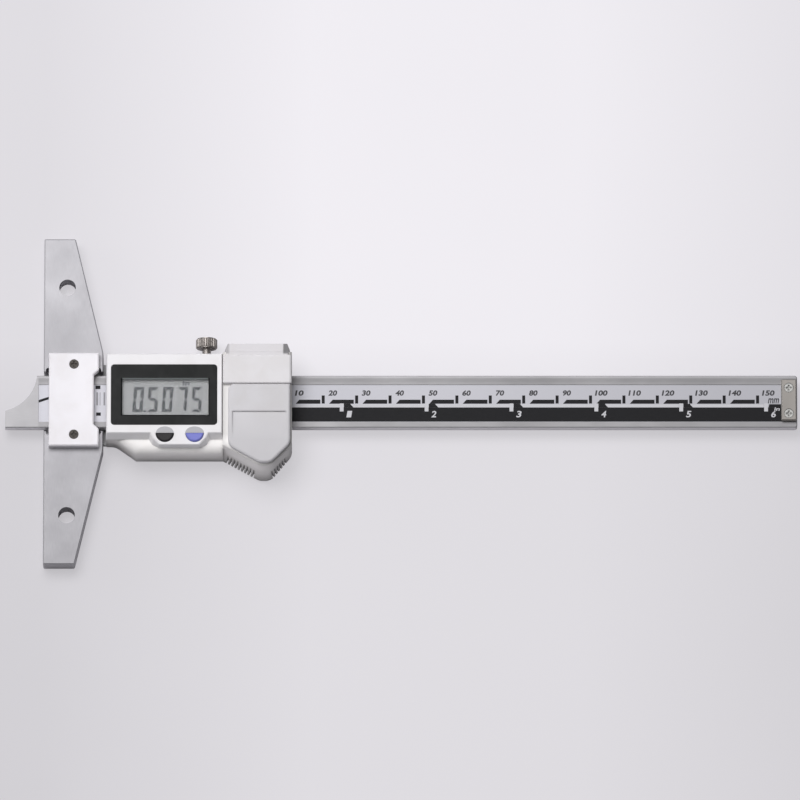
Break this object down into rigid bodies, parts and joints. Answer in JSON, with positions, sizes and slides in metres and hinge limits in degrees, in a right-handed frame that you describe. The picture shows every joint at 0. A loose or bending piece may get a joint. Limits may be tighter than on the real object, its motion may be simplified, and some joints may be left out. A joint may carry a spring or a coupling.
{
  "type": "depth gauge",
  "caption": "Digital depth gauge: tapered steel base, sliding beam with scale and stepped foot, display head with thumb rest and lock screw.",
  "frame": {"origin": "where the beam's centre line meets the plane of the measuring face, on the plane that the tool lies on", "axes": "+X along the beam away from the measuring side, +Y along the base away from the buttons, +Z out of the display"},
  "size_m": [0.237, 0.1, 0.016],
  "materials": {
    "ground_steel": "ground, satin",
    "satin_plate": "satin plated",
    "dark_screw": "blackened",
    "frame_steel": "satin",
    "beam_steel": "satin, lengthwise grain",
    "scale_print": "matt silver print",
    "stop_steel": "satin",
    "bright_screw": "bright",
    "knurled_steel": "knurled",
    "housing_plastic": "fine moulded texture",
    "bezel_plastic": "smooth",
    "clear_window": "clear",
    "lcd_film": "reflective film",
    "board_green": "solder mask",
    "contact_rubber": "matt",
    "pad_rubber": "matt",
    "button_black": "smooth",
    "button_blue": "smooth",
    "cell_steel": "plated",
    "spring_brass": "bright",
    "seal_rubber": "matt",
    "socket_plastic": "plain"
  },
  "bodies": {
    "head": {"base": "ground_steel", "base_cover_plate": "satin_plate", "base_cover_screws": "dark_screw", "slider_frame": "frame_steel", "tongue_screws": "bright_screw", "gib_set_screws": "dark_screw", "housing": "housing_plastic", "unit_screws": "bright_screw", "front_cover": "housing_plastic", "display_bezel": "bezel_plastic", "lcd_window": "clear_window", "lcd_panel": "lcd_film", "display_contacts": "contact_rubber", "sensor_board": "board_green", "main_board": "board_green", "keypad": "pad_rubber", "battery": "cell_steel", "battery_contacts": "spring_brass", "battery_cover": "housing_plastic", "battery_seal": "seal_rubber", "connector_cap": "housing_plastic", "data_socket": "socket_plastic", "socket_seal": "seal_rubber"},
    "beam": {"beam": "beam_steel", "scale_strip": "scale_print", "end_stop_plate": "stop_steel", "end_stop_screws": "bright_screw"},
    "gib": {"gib": "frame_steel"},
    "lock_screw": {"lock_screw": "knurled_steel"},
    "zero_button": {"zero_button": "button_black"},
    "mode_button": {"mode_button": "button_blue"}
  },
  "joints": [
    {"name": "beam_slide", "type": "slide", "parent": "head", "child": "beam", "axis": [-1, 0, 0], "range_m": [-0.0115, 0.1455]},
    {"name": "lock_screw_turn", "type": "hinge", "parent": "head", "child": "lock_screw", "pos_m": [0.0487, 0, 0.00425], "axis": [0, -1, 0], "range_deg": [0, 120]},
    {"name": "gib_press", "type": "slide", "parent": "head", "child": "gib", "axis": [0, -1, 0], "range_m": [0, 0.00015]},
    {"name": "zero_button_press", "type": "slide", "parent": "head", "child": "zero_button", "axis": [0, 0, -1], "range_m": [0, 0.0004], "stiffness_N_per_m": 1250, "springref_m": -0.0002},
    {"name": "mode_button_press", "type": "slide", "parent": "head", "child": "mode_button", "axis": [0, 0, -1], "range_m": [0, 0.0004], "stiffness_N_per_m": 1250, "springref_m": -0.0002}
  ]
}
